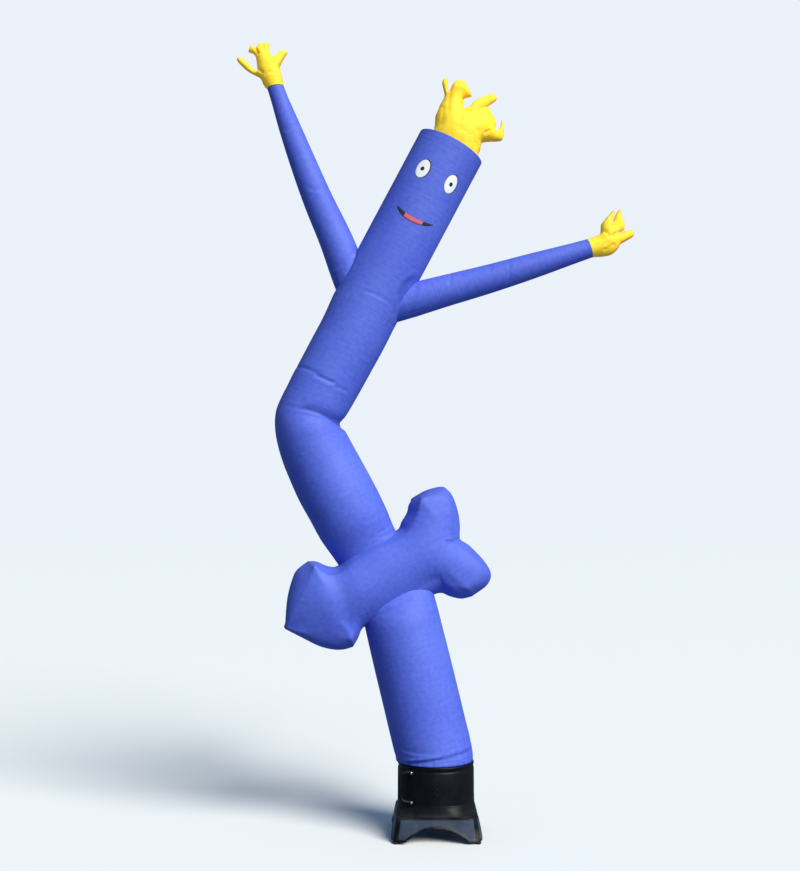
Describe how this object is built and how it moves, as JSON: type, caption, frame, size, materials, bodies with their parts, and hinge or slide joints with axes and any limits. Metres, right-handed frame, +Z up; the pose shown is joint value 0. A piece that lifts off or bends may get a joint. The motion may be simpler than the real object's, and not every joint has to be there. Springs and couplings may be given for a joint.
{
  "type": "inflatable air dancer on its fan blower",
  "caption": "Tall air-filled nylon tube figure, bent at the waist, with raised tapered arms, a smiling face, a tuft of hair and an arrow across its front, standing on a square fan blower.",
  "frame": {"origin": "on the ground under the middle of the whole figure's bounding box, which lies within the blower's stand", "axes": "+Z up; +X to the right of someone who faces the figure; the face, the arrow and the carry handle look along -Y"},
  "size_m": [2.4466, 0.536, 4.8301],
  "materials": {
    "blue_nylon": "light ripstop nylon, royal blue, faintly shiny",
    "yellow_nylon": "light ripstop nylon, bright yellow",
    "white_nylon": "white nylon appliqué",
    "black_nylon": "black nylon appliqué",
    "red_nylon": "red nylon appliqué",
    "housing_plastic": "black moulded plastic, semi gloss",
    "stand_plastic": "dark blue-grey moulded plastic, semi gloss",
    "bolt_steel": "bright plated steel",
    "foot_rubber": "matt black rubber"
  },
  "bodies": {
    "root": {"lower_tube": "blue_nylon", "middle_tube": "blue_nylon", "head_tube": "blue_nylon", "head_cap": "blue_nylon", "arm_left": "blue_nylon", "arm_right": "blue_nylon", "arrow": "blue_nylon", "hand_left": "yellow_nylon", "hand_right": "yellow_nylon", "hair": "yellow_nylon", "eye_rim_left": "black_nylon", "eye_rim_right": "black_nylon", "eye_white_left": "white_nylon", "eye_white_right": "white_nylon", "pupil_left": "black_nylon", "pupil_right": "black_nylon", "mouth_line": "black_nylon", "mouth_red": "red_nylon", "blower_barrel": "housing_plastic", "barrel_skirt": "housing_plastic", "blower_base": "stand_plastic", "carry_handle": "housing_plastic", "handle_bolt_top": "bolt_steel", "handle_bolt_bottom": "bolt_steel", "cover_screw_top": "bolt_steel", "cover_screw_bottom": "bolt_steel", "power_inlet": "housing_plastic", "foot_1": "foot_rubber", "foot_2": "foot_rubber", "foot_3": "foot_rubber", "foot_4": "foot_rubber"}
  },
  "joints": []
}
